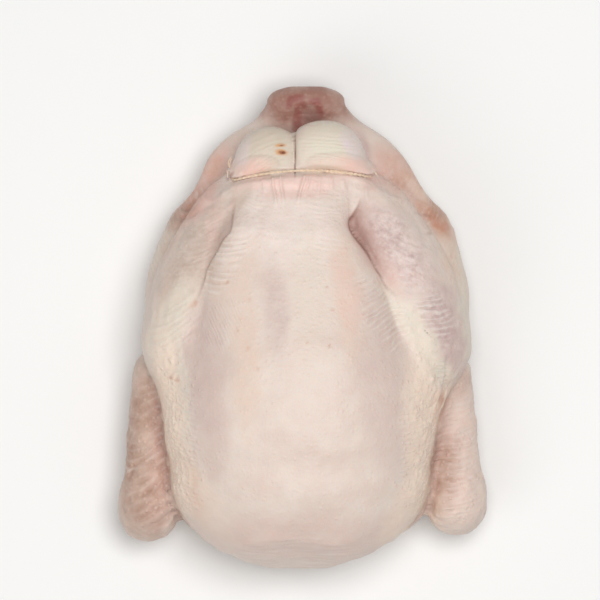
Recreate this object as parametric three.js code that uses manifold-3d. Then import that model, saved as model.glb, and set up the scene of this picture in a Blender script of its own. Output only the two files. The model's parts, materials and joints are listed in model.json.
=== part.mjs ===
// A whole raw chicken, oven ready, lying on its back with its hocks tied over the belly by an elastic.
// Millimetres, +Z up, tail towards +Y, the bird's resting spot in the plane z = 0.
// The bird is one soft solid: every muscle is a rounded form, the forms flow into each other where
// the skin is stretched over them and meet in a crease where it folds, and a net is laid on the result.
import * as THREE from "three";
import { mergeVertices } from "three/addons/utils/BufferGeometryUtils.js";
import Module from "manifold-3d";

const wasm = await Module();
wasm.setup();

// ---- driving dimensions ----

const NET = 5.7; // mesh width of the net laid over the bird
const CENTRE = [0.29, 0.22]; // middle of the bird's outline, moved to x = 0, y = 0
const FLOOR_ROUND = 3; // rounding where the skin leaves the resting spot

// Trunk and breast: y, reach to the left, reach to the right, underside, widest level, top
const TRUNK = {
  middle: -2,
  caps: [47.5, 9], // rounded neck end, edge of the belly flap
  endPower: 2.5,
  rows: [
    [-74, 66, 64, -2, 44, 106],
    [-56, 69, 67, -4, 45, 108.5],
    [-34, 69, 68, -5, 46, 109],
    [-16, 64, 62, -5, 50, 107],
    [4, 58, 54, -5, 54, 102],
    [22, 53, 45, -4, 57, 97],
    [38, 48, 34, -2, 59, 93],
    [48, 43, 24.5, 2, 60, 90.5],
    [54, 40, 22, 5, 60, 88.5],
    [61, 37.5, 27, 10, 60, 86.5],
    [70, 36, 30, 16, 60, 83],
  ],
};

// Back, rump and tail, in the same order
const BACK = {
  middle: 2,
  caps: [30, 8],
  endPower: 2.2,
  rows: [
    [0, 60, 66, -5, 36, 60],
    [30, 60, 66, -5, 35, 60],
    [52, 57, 63, -2, 35, 58],
    [64, 56, 62, 4, 35, 53],
    [76, 51.5, 57.5, 8, 33, 45],
    [88, 45.5, 50, 12, 32, 43],
    [98, 35.5, 39.5, 16, 31, 43],
    [104, 25.5, 30, 19, 33.5, 45.5],
    [109, 21, 26, 23, 36.5, 48],
    [114, 20, 25.5, 27, 39, 49],
  ],
};

// Legs and wings, left then right: the two sides of the bird are not alike
const SIDES = [
  {
    side: -1,
    drumstick: [[-18, 88, 61], [-24, 74, 61], [-37, 50, 57.5], [-47.5, 22, 56.5], [-51, -4, 54]],
    drumstickRadii: [11, 13.5, 20.5, 26, 27.5],
    thigh: [[-52, -8, 44], [-52.5, 18, 33], [-48, 43, 27]],
    thighRadii: [25, 26, 22.5],
    hock: { at: [-16.5, 87.8, 62.3], reach: [17.4, 13, 13.2] },
    wrist: [-77, -90, 27],
    forearm: [[-73, -24, 33], [-78, -88, 34]],
    upperArm: [[-47, -86, 42], [-65, -30, 38]],
  },
  {
    side: 1,
    drumstick: [[14.8, 90, 62], [23, 75, 62], [38, 50, 58.5], [49.5, 22, 58], [54.5, -4, 55]],
    drumstickRadii: [11, 13.5, 21, 26.5, 28],
    thigh: [[56, -6, 44], [56, 16, 33], [53, 42, 27]],
    thighRadii: [26.5, 28, 24.5],
    hock: { at: [12.8, 90, 63.8], reach: [20, 14.2, 13.8] },
    wrist: [77.5, -87, 27],
    forearm: [[73, -24, 33], [79, -86, 34]],
    upperArm: [[46, -86, 42], [64, -30, 38]],
  },
];

const WING = {
  forearmRadii: [12, 13],
  upperArmRadii: [16, 13],
  handRadii: [12, 8],
  wristReach: [15, 17, 22],
};
const HOCK_SEAM = -3.4; // where the two hocks press against each other
const VENT = { at: [2.5, 103, 50], reach: [10.5, 9, 6.5] };
const NECK_SKIN = { at: [0, -106, 21], reach: [36, 14, 15] };
const CLEFT = { depth: 3.5, at: [-1, -118], width: [13, 26] }; // hollow over the wishbone

// The elastic round the hocks
const TIE = {
  wire: 0.9, // radius
  clearance: 0.35, // free space between the elastic and the skin pressed round it
  left: [-23.5, 61],
  right: [22.8, 62],
  round: 13.1, // radius of the loop where it turns round each leg
  yOver: 74.2,
  yUnder: 81.5, // the loop leans back under the hocks
  bow: 4.6, // its top bows towards the hocks
  tilt: 0.9, // and lies aslant
};

// ---- rounded forms, as signed distances: negative inside ----

function clamp01(t) {
  return Math.min(Math.max(t, 0), 1);
}

function ease(from, to, x) {
  const t = clamp01((x - from) / (to - from));
  return t * t * (3 - 2 * t);
}

function bell(x, at, width) {
  return Math.exp(-(((x - at) / width) ** 2));
}

// Join two forms with a fillet about k wide
function join(a, b, k) {
  const h = Math.max(k - Math.abs(a - b), 0) / k;
  return Math.min(a, b) - (h * h * k) / 4;
}

// Keep what both forms share, with the edge rounded
function trim(a, b, k) {
  return -join(-a, -b, k);
}

// A smooth value along a table's rows, level past both ends
function along(rows, column, y) {
  const last = rows.length - 1;
  const at = Math.min(Math.max(y, rows[0][0]), rows[last][0]);
  let i = 0;
  while (i < last - 1 && rows[i + 1][0] < at) i += 1;
  const slope = (j) => (rows[j + 1][column] - rows[j][column]) / (rows[j + 1][0] - rows[j][0]);
  const tangent = (j) => (j === 0 || j === last ? 0 : (slope(j - 1) + slope(j)) / 2);
  const step = rows[i + 1][0] - rows[i][0];
  const t = (at - rows[i][0]) / step;
  const t2 = t * t;
  const t3 = t2 * t;
  const start = (2 * t3 - 3 * t2 + 1) * rows[i][column] + (t3 - 2 * t2 + t) * tangent(i) * step;
  return start + (3 * t2 - 2 * t3) * rows[i + 1][column] + (t3 - t2) * tangent(i + 1) * step;
}

// A body whose cross-section is a rounded box that changes along y
function loft(form, power, x, y, z) {
  const { rows, caps, middle, endPower } = form;
  const left = along(rows, 1, y);
  const right = along(rows, 2, y);
  const under = along(rows, 3, y);
  const level = along(rows, 4, y);
  const top = along(rows, 5, y);
  const dx = x - middle;
  const dz = z - level;
  const u = dx > 0 ? dx / (right - middle) : -dx / (left + middle);
  const w = dz > 0 ? dz / (top - level) : -dz / (level - under);
  const before = Math.max(rows[0][0] - y, 0);
  const after = Math.max(y - rows[rows.length - 1][0], 0);
  const v = before / caps[0] + after / caps[1];
  const e = (u ** power + w ** power + 1e-9) ** (1 / power);
  const f = (e ** endPower + v ** endPower) ** (1 / endPower);
  const reach = Math.hypot(dx, dz, before + after) + 1e-6;
  return reach * (1 - 1 / f);
}

// An ellipsoid, squarer in plan and in rise as the powers grow, turned about z and then y
function lump(at, reach, plan, rise, x, y, z, aboutZ = 0, aboutY = 0) {
  const cz = Math.cos(aboutZ);
  const sz = Math.sin(aboutZ);
  const cy = Math.cos(aboutY);
  const sy = Math.sin(aboutY);
  const dx = cz * (x - at[0]) + sz * (y - at[1]);
  const dy = -sz * (x - at[0]) + cz * (y - at[1]);
  const dz = z - at[2];
  const qx = cy * dx - sy * dz;
  const qz = sy * dx + cy * dz;
  const u = Math.abs(qx) / reach[0] + 1e-6;
  const v = Math.abs(dy) / reach[1] + 1e-6;
  const w = Math.abs(qz) / reach[2] + 1e-6;
  const f = ((u ** plan + v ** plan) ** (rise / plan) + w ** rise) ** (1 / rise);
  return Math.hypot(qx, dy, qz) * (1 - 1 / f);
}

// Centres and radii along a limb, with `each` steps between two given ones
function chain(points, radii, each) {
  const nodes = points.map((p, i) => [...p, radii[i]]);
  const last = nodes.length - 1;
  const out = [];
  for (let i = 0; i < last; i += 1) {
    const p0 = nodes[Math.max(i - 1, 0)];
    const p1 = nodes[i];
    const p2 = nodes[i + 1];
    const p3 = nodes[Math.min(i + 2, last)];
    for (let j = 0; j < each; j += 1) {
      const t = j / each;
      out.push(p1.map((v, c) => {
        const bend = 2 * p0[c] - 5 * v + 4 * p2[c] - p3[c];
        const twist = 3 * v - p0[c] - 3 * p2[c] + p3[c];
        return 0.5 * (2 * v + (p2[c] - p0[c]) * t + bend * t * t + twist * t ** 3);
      }));
    }
  }
  out.push(nodes[last]);
  return out;
}

// A limb: round cones end to end along a chain
function limb(links, x, y, z) {
  let d = Infinity;
  for (let i = 0; i < links.length - 1; i += 1) {
    const [ax, ay, az, ar] = links[i];
    const [bx, by, bz, br] = links[i + 1];
    const vx = bx - ax;
    const vy = by - ay;
    const vz = bz - az;
    const dot = (x - ax) * vx + (y - ay) * vy + (z - az) * vz;
    const t = clamp01(dot / (vx * vx + vy * vy + vz * vz));
    const off = Math.hypot(x - ax - t * vx, y - ay - t * vy, z - az - t * vz);
    const s = off - (ar + (br - ar) * t);
    d = d === Infinity ? s : join(d, s, 1.5);
  }
  return d;
}

// ---- the bird ----

const limbs = SIDES.map((s) => {
  const [wx, wy] = s.wrist;
  return {
    ...s,
    drum: chain(s.drumstick, s.drumstickRadii, 4),
    thighs: chain(s.thigh, s.thighRadii, 4),
    fore: chain(s.forearm, WING.forearmRadii, 1),
    upper: chain(s.upperArm, WING.upperArmRadii, 1),
    hand: chain([[wx - s.side, wy + 4, 15], [s.side * 69.5, -42, 16]], WING.handRadii, 1),
  };
});

function wing(s, x, y, z) {
  const turn = (s.side * Math.PI) / 180;
  const wrist = lump(s.wrist, WING.wristReach, 2.3, 2, x, y, z, 8 * turn, -6 * turn);
  const folded = join(limb(s.fore, x, y, z), wrist, 7);
  return join(join(folded, limb(s.upper, x, y, z), 8), limb(s.hand, x, y, z), 9);
}

function leg(s, x, y, z) {
  const web = 13 + 5 * ease(25, -15, y);
  return join(limb(s.drum, x, y, z), limb(s.thighs, x, y, z), web);
}

// How far along y the elastic lies
function tiePlane(x, z) {
  const width = TIE.right[0] - TIE.left[0] + 2 * TIE.round;
  const u = (2 * (x - (TIE.left[0] + TIE.right[0]) / 2)) / width;
  const over = TIE.yOver + TIE.tilt * u + TIE.bow * (1 - Math.min(u * u, 1.5));
  return TIE.yUnder + (over - TIE.yUnder) * ease(48, 72, z);
}

// Height over the channel that the elastic presses into the skin
function outsideTie(x, y, z) {
  const { left, right, round } = TIE;
  const v = [right[0] - left[0], right[1] - left[1]];
  const t = clamp01(((x - left[0]) * v[0] + (z - left[1]) * v[1]) / (v[0] ** 2 + v[1] ** 2));
  const over = Math.hypot(x - left[0] - t * v[0], z - left[1] - t * v[1]) - round;
  const off = Math.abs(y - tiePlane(x, z));
  return over + 0.35 - 0.4 * off ** 1.4 - 300 * ease(54, 48, z);
}

// A round pad of skin, pressed flat against the other one
function hock(s, x, y, z) {
  const pad = lump(s.hock.at, s.hock.reach, 2.5, 2.8, x, y, z);
  return trim(pad, s.side * (HOCK_SEAM - x) + 0.1, 3);
}

function bird(x, y, z) {
  const [left, right] = limbs;
  let d = loft(TRUNK, 2.3 + 1.1 * ease(-10, 40, y), x, y, z);
  const hollow = bell(x, CLEFT.at[0], CLEFT.width[0]) * bell(y, CLEFT.at[1], CLEFT.width[1]);
  d += CLEFT.depth * hollow * ease(40, 60, z);
  let legs = join(leg(left, x, y, z), leg(right, x, y, z), 6);
  legs = join(legs, loft(BACK, 2.1, x, y, z), 16);
  d = join(d, legs, 8 + 8 * ease(5, -35, y));
  d = join(d, lump(NECK_SKIN.at, NECK_SKIN.reach, 2.4, 2, x, y, z), 4);
  d = join(d, join(hock(left, x, y, z), hock(right, x, y, z), 2), 4);
  d = trim(d, outsideTie(x, y, z), 3);
  d = trim(d, -lump(VENT.at, VENT.reach, 2, 2, x, y, z), 4);
  d = join(d, wing(left, x, y, z), 15);
  d = join(d, wing(right, x, y, z), 15);
  return trim(d, -z, FLOOR_ROUND);
}

// ---- the net ----

// The corners of one cell that are inside the form, and whether the surface crosses it just once
const EDGES = [];
for (let a = 0; a < 8; a += 1) {
  for (const bit of [1, 2, 4]) {
    if (!(a & bit)) EDGES.push([a, a | bit]);
  }
}

function piecesOf(corners) {
  const seen = new Set();
  let count = 0;
  for (const start of corners) {
    if (seen.has(start)) continue;
    count += 1;
    const queue = [start];
    seen.add(start);
    while (queue.length) {
      const c = queue.pop();
      for (const bit of [1, 2, 4]) {
        const n = c ^ bit;
        if (corners.has(n) && !seen.has(n)) {
          seen.add(n);
          queue.push(n);
        }
      }
    }
  }
  return count;
}

function crossedOnce(mask) {
  const inside = new Set();
  const outside = new Set();
  for (let c = 0; c < 8; c += 1) (mask & (1 << c) ? inside : outside).add(c);
  if (piecesOf(inside) > 1 || piecesOf(outside) > 1) return false;
  for (const [u, v, w] of [[1, 2, 4], [1, 4, 2], [2, 4, 1]]) {
    for (const base of [0, w]) {
      const s = [base, base | u, base | u | v, base | v].map((c) => (mask >> c) & 1);
      if (s[0] === s[2] && s[1] === s[3] && s[0] !== s[1]) return false;
    }
  }
  return true;
}

const CLEAN = Array.from({ length: 256 }, (_, mask) => crossedOnce(mask));

function slopeAt(field, p) {
  const e = 0.4;
  const g = p.map((_, c) => {
    const a = [...p];
    const b = [...p];
    a[c] += e;
    b[c] -= e;
    return (field(...a) - field(...b)) / (2 * e);
  });
  return g;
}

// Move a point onto the surface
function settle(field, p, steps, longest) {
  let q = p;
  for (let i = 0; i < steps; i += 1) {
    const d = field(...q);
    const g = slopeAt(field, q);
    const size = Math.max(g[0] ** 2 + g[1] ** 2 + g[2] ** 2, 0.05);
    const move = Math.min(Math.max(d / size, -longest), longest);
    q = q.map((v, c) => v - g[c] * move);
  }
  return q;
}

// A closed net of triangles over the surface where the field is zero
function layNet(field, low, high, h) {
  const n = low.map((v, c) => Math.ceil((high[c] - v) / h) + 1);
  const at = (i, j, k) => (k * n[1] + j) * n[0] + i;
  const place = (i, j, k) => [low[0] + i * h, low[1] + j * h, low[2] + k * h];
  const value = new Float64Array(n[0] * n[1] * n[2]);
  for (let k = 0; k < n[2]; k += 1) {
    for (let j = 0; j < n[1]; j += 1) {
      for (let i = 0; i < n[0]; i += 1) value[at(i, j, k)] = field(...place(i, j, k));
    }
  }
  const corner = (i, j, k, c) => at(i + (c & 1), j + ((c >> 1) & 1), k + ((c >> 2) & 1));
  const maskOf = (i, j, k) => {
    let mask = 0;
    for (let c = 0; c < 8; c += 1) if (value[corner(i, j, k, c)] < 0) mask |= 1 << c;
    return mask;
  };
  const eachCell = (visit) => {
    for (let k = 0; k < n[2] - 1; k += 1) {
      for (let j = 0; j < n[1] - 1; j += 1) {
        for (let i = 0; i < n[0] - 1; i += 1) visit(i, j, k, maskOf(i, j, k));
      }
    }
  };
  // A cell that the surface would cross twice is filled or emptied at its faintest corner
  for (let pass = 0, dirty = true; dirty && pass < 60; pass += 1) {
    dirty = false;
    eachCell((i, j, k, mask) => {
      if (CLEAN[mask]) return;
      dirty = true;
      const corners = [0, 1, 2, 3, 4, 5, 6, 7].map((c) => corner(i, j, k, c));
      const useful = corners.filter((_, c) => CLEAN[mask ^ (1 << c)]);
      const pool = useful.length ? useful : corners;
      const faint = pool.reduce((a, b) => (Math.abs(value[a]) <= Math.abs(value[b]) ? a : b));
      value[faint] = value[faint] < 0 ? 0.3 : -0.3;
    });
  }
  const points = [];
  const pointOf = new Map();
  eachCell((i, j, k, mask) => {
    if (mask === 0 || mask === 255) return;
    const sum = [0, 0, 0];
    let hits = 0;
    for (const [a, b] of EDGES) {
      const va = value[corner(i, j, k, a)];
      const vb = value[corner(i, j, k, b)];
      if (va < 0 === vb < 0) continue;
      const t = va / (va - vb);
      for (let c = 0; c < 3; c += 1) {
        const pa = (a >> c) & 1;
        const pb = (b >> c) & 1;
        sum[c] += pa + (pb - pa) * t;
      }
      hits += 1;
    }
    const base = place(i, j, k);
    pointOf.set(at(i, j, k), points.length);
    points.push(base.map((v, c) => v + (sum[c] / hits) * h));
  });
  const quads = [];
  const around = [[2, 4], [4, 1], [1, 2]];
  for (let k = 1; k < n[2] - 1; k += 1) {
    for (let j = 1; j < n[1] - 1; j += 1) {
      for (let i = 1; i < n[0] - 1; i += 1) {
        for (let axis = 0; axis < 3; axis += 1) {
          const next = [i, j, k];
          next[axis] += 1;
          const inside = value[at(i, j, k)] < 0;
          if (inside === value[at(...next)] < 0) continue;
          const [u, v] = around[axis];
          const ring = [u | v, v, 0, u].map((back) => {
            const cell = [i - (back & 1), j - ((back >> 1) & 1), k - ((back >> 2) & 1)];
            return pointOf.get(at(...cell));
          });
          quads.push(inside ? ring : ring.reverse());
        }
      }
    }
  }
  return { points, quads };
}

// Spread the net's points evenly over the surface
function spread(net, field, rounds) {
  const around = net.points.map(() => new Set());
  for (const ring of net.quads) {
    ring.forEach((p, i) => {
      around[p].add(ring[(i + 1) % 4]);
      around[p].add(ring[(i + 3) % 4]);
    });
  }
  let points = net.points.map((p) => settle(field, p, 3, 2));
  for (let round = 0; round < rounds; round += 1) {
    points = points.map((p, i) => {
      const near = [...around[i]];
      const mean = p.map((_, c) => near.reduce((sum, q) => sum + points[q][c], 0) / near.length);
      const half = p.map((v, c) => v + 0.5 * (mean[c] - v));
      return settle(field, half, 2, 1.5);
    });
  }
  return points.map((p) => [p[0], p[1], Math.abs(p[2]) < 0.05 ? 0 : Math.max(p[2], 0)]);
}

function distance(a, b) {
  return Math.hypot(a[0] - b[0], a[1] - b[1], a[2] - b[2]);
}

function netGeometry(field, low, high, h) {
  const net = layNet(field, low, high, h);
  const points = spread(net, field, 4);
  const faces = [];
  for (const [a, b, c, d] of net.quads) {
    if (distance(points[a], points[c]) < distance(points[b], points[d])) {
      faces.push(a, b, c, a, c, d);
    } else {
      faces.push(a, b, d, b, c, d);
    }
  }
  const shape = new THREE.BufferGeometry();
  shape.setAttribute("position", new THREE.Float32BufferAttribute(points.flat(), 3));
  shape.setIndex(faces);
  return shape;
}

// ---- solids ----

function solidOf(geometry) {
  const g = geometry.clone();
  g.deleteAttribute("normal");
  g.deleteAttribute("uv");
  const merged = mergeVertices(g, 1e-4);
  return new wasm.Manifold(new wasm.Mesh({
    numProp: 3,
    vertProperties: merged.attributes.position.array,
    triVerts: new Uint32Array(merged.index.array),
  }));
}

function geometryOf(solid) {
  const mesh = solid.getMesh();
  const count = mesh.numVert;
  const position = new Float32Array(count * 3);
  for (let i = 0; i < count; i += 1) {
    for (let c = 0; c < 3; c += 1) position[i * 3 + c] = mesh.vertProperties[i * mesh.numProp + c];
  }
  const g = new THREE.BufferGeometry();
  g.setAttribute("position", new THREE.BufferAttribute(position, 3));
  g.setIndex(new THREE.BufferAttribute(new Uint32Array(mesh.triVerts), 1));
  g.computeVertexNormals();
  return g;
}

// The loop of elastic: straight across, round one leg, back underneath, round the other
function tiePath() {
  const { left, right, round } = TIE;
  const points = [];
  const turns = 8;
  const across = 7;
  const add = (x, z) => points.push(new THREE.Vector3(x, tiePlane(x, z), z));
  for (const [from, to, sign] of [[left, right, 1], [right, left, -1]]) {
    for (let i = 0; i <= across; i += 1) {
      const t = i / across;
      add(from[0] + (to[0] - from[0]) * t, from[1] + (to[1] - from[1]) * t + sign * round);
    }
    for (let i = 1; i < turns; i += 1) {
      const a = (Math.PI * i) / turns;
      add(to[0] + sign * round * Math.sin(a), to[1] + sign * round * Math.cos(a));
    }
  }
  return new THREE.CatmullRomCurve3(points, true);
}

// The two free ends of the elastic, left past its knot
function tieEnds() {
  const { left, right, round, yOver } = TIE;
  const l = new THREE.Vector3(left[0] - round + 0.4, yOver + 2, left[1] + 3);
  const r = new THREE.Vector3(right[0] + round - 0.8, yOver + 1.5, right[1] + 4);
  return [
    [l, new THREE.Vector3(l.x - 1.8, l.y + 4, l.z + 2.4), new THREE.Vector3(l.x - 1.2, l.y + 10, l.z + 2)],
    [r, new THREE.Vector3(r.x + 2.6, r.y - 1.4, r.z + 1.2), new THREE.Vector3(r.x + 3, r.y + 3.5, r.z + 0.6)],
  ];
}

function tieSolid(radius) {
  const loop = new THREE.TubeGeometry(tiePath(), 56, radius, 8, true);
  let solid = solidOf(loop);
  for (const [a, b, c] of tieEnds()) {
    const outline = new THREE.Shape();
    outline.absarc(0, 0, radius * 0.8, 0, Math.PI * 2);
    const end = new THREE.ExtrudeGeometry(outline, {
      steps: 6,
      curveSegments: 3,
      bevelEnabled: false,
      extrudePath: new THREE.QuadraticBezierCurve3(a, b, c),
    });
    solid = solid.add(solidOf(end));
  }
  return solid;
}

const low = [-103, -133, -7.2];
const high = [105, 131, 120];
const flesh = solidOf(netGeometry(bird, low, high, NET));
const groove = tieSolid(TIE.wire + TIE.clearance);
const elastic = tieSolid(TIE.wire);

const skin = new THREE.MeshStandardMaterial({ color: 0xe3cfc3, roughness: 0.42, metalness: 0 });
const rubber = new THREE.MeshStandardMaterial({ color: 0xe2cfb0, roughness: 0.6, metalness: 0 });

const group = new THREE.Group();

function addPiece(name, solid, material) {
  const mesh = new THREE.Mesh(geometryOf(solid), material);
  mesh.name = name;
  mesh.position.set(-CENTRE[0], -CENTRE[1], 0);
  group.add(mesh);
}

// Crumbs left beside the groove are dropped
const carved = flesh.subtract(groove).decompose();
const whole = carved.reduce((a, b) => (a.volume() > b.volume() ? a : b));

addPiece("chicken", whole, skin);
addPiece("leg_tie", elastic, rubber);

export default group;
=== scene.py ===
"""A whole raw chicken, oven ready, lying on its back with its hocks tied by an elastic.

The skin starts as a copy of the frame's solid. It is remeshed finely, laid onto the bird's muscles with
sharper creases, and then wrinkled, pleated and pitted. Lengths in the tables are millimetres in the
bird's own plan (x to the right, y to the tail, z up). Meshes are in metres.
"""
import json
import math

import bmesh
import bpy
import numpy as np
from bpy.props import FloatProperty, FloatVectorProperty, PointerProperty
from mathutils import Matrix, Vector, noise

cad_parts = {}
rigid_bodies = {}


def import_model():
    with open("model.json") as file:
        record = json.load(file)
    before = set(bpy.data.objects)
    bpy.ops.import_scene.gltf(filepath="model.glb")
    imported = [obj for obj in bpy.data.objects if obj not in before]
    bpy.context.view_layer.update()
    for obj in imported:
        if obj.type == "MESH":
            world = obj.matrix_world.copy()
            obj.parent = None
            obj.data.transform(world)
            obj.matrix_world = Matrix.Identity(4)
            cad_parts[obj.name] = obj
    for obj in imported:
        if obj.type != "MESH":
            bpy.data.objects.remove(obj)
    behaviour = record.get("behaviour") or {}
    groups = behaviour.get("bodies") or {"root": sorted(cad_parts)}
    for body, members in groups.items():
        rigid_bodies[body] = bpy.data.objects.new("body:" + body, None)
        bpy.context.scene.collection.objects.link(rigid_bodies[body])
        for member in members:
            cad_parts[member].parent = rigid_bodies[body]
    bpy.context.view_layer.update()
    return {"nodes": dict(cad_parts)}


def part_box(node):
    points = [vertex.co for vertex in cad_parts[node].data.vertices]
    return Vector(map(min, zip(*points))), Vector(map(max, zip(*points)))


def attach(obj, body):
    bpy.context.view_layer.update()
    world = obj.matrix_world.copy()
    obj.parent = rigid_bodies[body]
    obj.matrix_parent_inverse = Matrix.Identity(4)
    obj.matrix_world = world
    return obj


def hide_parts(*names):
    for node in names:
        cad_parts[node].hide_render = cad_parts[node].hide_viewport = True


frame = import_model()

bl_info = {
    "name": "Whole Raw Chicken",
    "version": (1, 0, 0),
    "blender": (4, 5, 0),
    "location": "View3D > Sidebar > Chicken",
    "description": "Models an oven-ready raw chicken with the elastic round its hocks",
    "category": "Add Mesh",
}

BODY = "root"
MM = 0.001
CENTRE = np.array([0.29, 0.22, 0.0])  # middle of the frame, in the bird's plan

# How wide the fillets are between the bird's forms, at their narrowest
FILLET = {
    "cones": 1.5, "wrist": 7, "elbow": 5, "hand": 4, "wings": 2.5, "thigh": 3, "legs": 3, "back": 10,
    "breast": 2.5, "neck": 4, "hocks": 4.5, "hock_rim": 2.2, "tie": 1.2, "vent": 3, "floor": 3.0,
}

# ---- the muscles under the skin ----

# How square the cross-sections of trunk and back are: 2 is an ellipse, more is squarer
TRUNK_SHAPE = 2.3
BACK_SHAPE = 2.1

# Trunk and breast: y, reach to the left, reach to the right, underside, widest level, top
TRUNK = {
    "middle": -2.0,
    "caps": (47.5, 13.0),
    "end_power": 2.0,
    "rows": np.array([
        (-74, 66, 64, -2, 44, 106),
        (-56, 69, 67, -4, 45, 108.5),
        (-34, 69, 68, -5, 46, 109),
        (-16, 64, 62, -5, 50, 107),
        (4, 58, 54, -5, 54, 102),
        (22, 53, 45, -4, 57, 97),
        (38, 48, 34, -2, 59, 93),
        (48, 43, 26, 2, 60, 90),
        (54, 40.5, 24.8, 5, 60, 86.8),
        (61, 39, 30, 10, 60, 83.2),
        (70, 38, 34.5, 16, 60, 80),
    ], float),
}

# Back, rump and tail, in the same order
BACK = {
    "middle": 2.0,
    "caps": (30.0, 8.0),
    "end_power": 2.2,
    "rows": np.array([
        (0, 60, 66, -5, 36, 60),
        (30, 60, 66, -5, 35, 60),
        (52, 57, 63, -2, 35, 58),
        (64, 56, 62, 4, 35, 53),
        (76, 51.5, 57.5, 8, 33, 45),
        (88, 45.5, 50, 12, 32, 43),
        (98, 35.5, 39.5, 16, 31, 43),
        (104, 25.5, 30, 19, 33.5, 45.5),
        (109, 20.5, 24.5, 23, 36.5, 48),
        (114, 17.5, 21.5, 27, 39, 49),
    ], float),
}

# Legs and wings, left then right: points of a limb are (x, y, z, radius)
SIDES = [
    {
        "side": -1,
        "drumstick": [(-18, 88, 61, 11), (-24, 74, 61, 13.5), (-37, 50, 57.5, 20.5),
                      (-47.5, 22, 56.5, 26), (-51, -4, 54, 27.5)],
        "thigh": [(-52, -8, 44, 25), (-52.5, 18, 33, 26), (-48, 43, 27, 22.5)],
        "hock": ((-15.7, 85.2, 62.3), (17.0, 15.5, 13.2)),
        "forearm": [(-73, -24, 33, 12), (-78, -88, 34, 13)],
        "wrist": (-77, -90, 27),
        "upper_arm": [(-47, -86, 42, 16), (-65, -30, 38, 13)],
    },
    {
        "side": 1,
        "drumstick": [(14.8, 90, 62, 11), (23, 75, 62, 13.5), (38, 50, 58.5, 21),
                      (49.5, 22, 58, 26.5), (54.5, -4, 55, 28)],
        "thigh": [(56, -6, 44, 26.5), (56, 16, 33, 28), (53, 42, 27, 24.5)],
        "hock": ((11, 86.3, 63.8), (20, 17.9, 13.8)),
        "forearm": [(73, -24, 33, 12), (79, -86, 34, 13)],
        "wrist": (77.5, -87, 27),
        "upper_arm": [(46, -86, 42, 16), (64, -30, 38, 13)],
    },
]
WRIST_REACH = (15, 17, 22)
HOCK_SEAM = -3.4  # where the two hocks press against each other
VENT = ((2.5, 103, 50), (10.5, 9, 6.5))
NECK_SKIN = ((0, -106, 21), (36, 14, 15))

# The elastic: where its loop turns round each leg (x, z) and how wide it turns, where its front and its
# back run lie along y, how they bow and lean, and its half thickness
TIE = {
    "left": (-23.5, 61.0),
    "right": (22.8, 62.0),
    "round": 13.1,
    "over": 74.2,
    "under": 81.5,
    "bow": 4.6,
    "tilt": 0.9,
    "radius": 0.9,
}
TIE_ROOM = 0.25  # between the elastic and the skin
TIE_STEPS = (48, 92)  # points round a leg and across, on the finished elastic
STRAND_OFF = 0.92  # from the elastic's middle to a strand's, in halves of a strand

# Thin fibres wound loosely round the elastic near the right hock: the points of the loop that they
# follow, how far out in halves of a strand, their pitch as a share, where they start, how thick they are
FIBRES = {"follow": slice(58, 112), "off": 2.1, "pitch": 0.8, "phase": 0.6, "thick": 0.62}

# Loose ends of the elastic, frayed beside the hocks
LOOSE_ENDS = (
    [(-36.4, 80.6, 63.0), (-37.0, 82.4, 66.0), (-36.4, 84.4, 67.8), (-35.4, 85.8, 68.2)],
    [(-36.2, 80.4, 63.5), (-36.2, 82.8, 66.6), (-35.4, 84.6, 67.6)],
    [(-36.3, 79.8, 64.0), (-37.4, 77.6, 66.6), (-37.2, 75.2, 66.8)],
    [(35.4, 80.2, 64.5), (37.0, 78.0, 67.0), (38.0, 75.8, 66.4)],
    [(34.6, 79.6, 67.0), (36.6, 77.8, 69.0), (37.4, 76.6, 68.6)],
)

# ---- lines and patches on the skin, in plan ----

# Where the breast skin lies over a leg: its line from the belly to the thigh, the side the leg is on,
# the height of its rim, the drop beyond it and how wide that is, and where along it the drop begins and
# ends; then how dark the painted shade along its line is, and how deep, how wide and how far along the
# painted shade on the leg is
EDGES = (
    {
        "line": [(30.5, 76), (30.2, 68), (27.8, 61), (24.9, 56.5), (23.2, 53), (24.6, 47.5), (29.4, 41),
                 (33.6, 35), (37, 28.5), (40.3, 22.5), (44, 15), (48, 6), (51, -3)],
        "leg": 1, "rim": 0.12, "drop": 2.6, "reach": 8.0, "runs": (8, 23, 50, 72), "crease_shade": 0.6,
        "shade": 0.95, "shade_reach": 8.5, "shaded": (6, 24, 34, 64),
    },
    {
        "line": [(-30.5, 72), (-33, 64), (-34, 58), (-34.6, 52.5), (-36, 47.5), (-39.5, 43.5), (-42, 38.5),
                 (-45, 34), (-47, 29), (-48.5, 23.5), (-51, 17), (-53.5, 12), (-57.5, 4)],
        "leg": -1, "rim": 0.5, "drop": 0.6, "reach": 3.0, "runs": (8, 20, 48, 70), "crease_shade": 0.3,
        "shade": 0.35, "shade_reach": 5.0, "shaded": (2, 14, 28, 56),
    },
)

# Crease between each drumstick and the skin of the thigh and back beyond it
CREASES = (
    ([(36, 74), (43, 67), (50.5, 61), (57.5, 53), (61.5, 45.5), (67.5, 38), (70.5, 32), (73, 25),
      (76, 17), (79, 8)], 1),
    ([(-39, 70), (-46, 62.5), (-50.5, 59), (-54.5, 56), (-57.5, 50.5), (-61, 44.7), (-64.5, 39),
      (-69, 33.5), (-71.7, 29), (-73, 24.7), (-75.5, 17)], -1),
)

# Across that crease: heights, their distances beyond its line and their widths
CREASE_PROFILE = ((0.7, -6, 5), (-0.8, 0.4, 2.4), (0.4, 5, 3))

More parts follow.
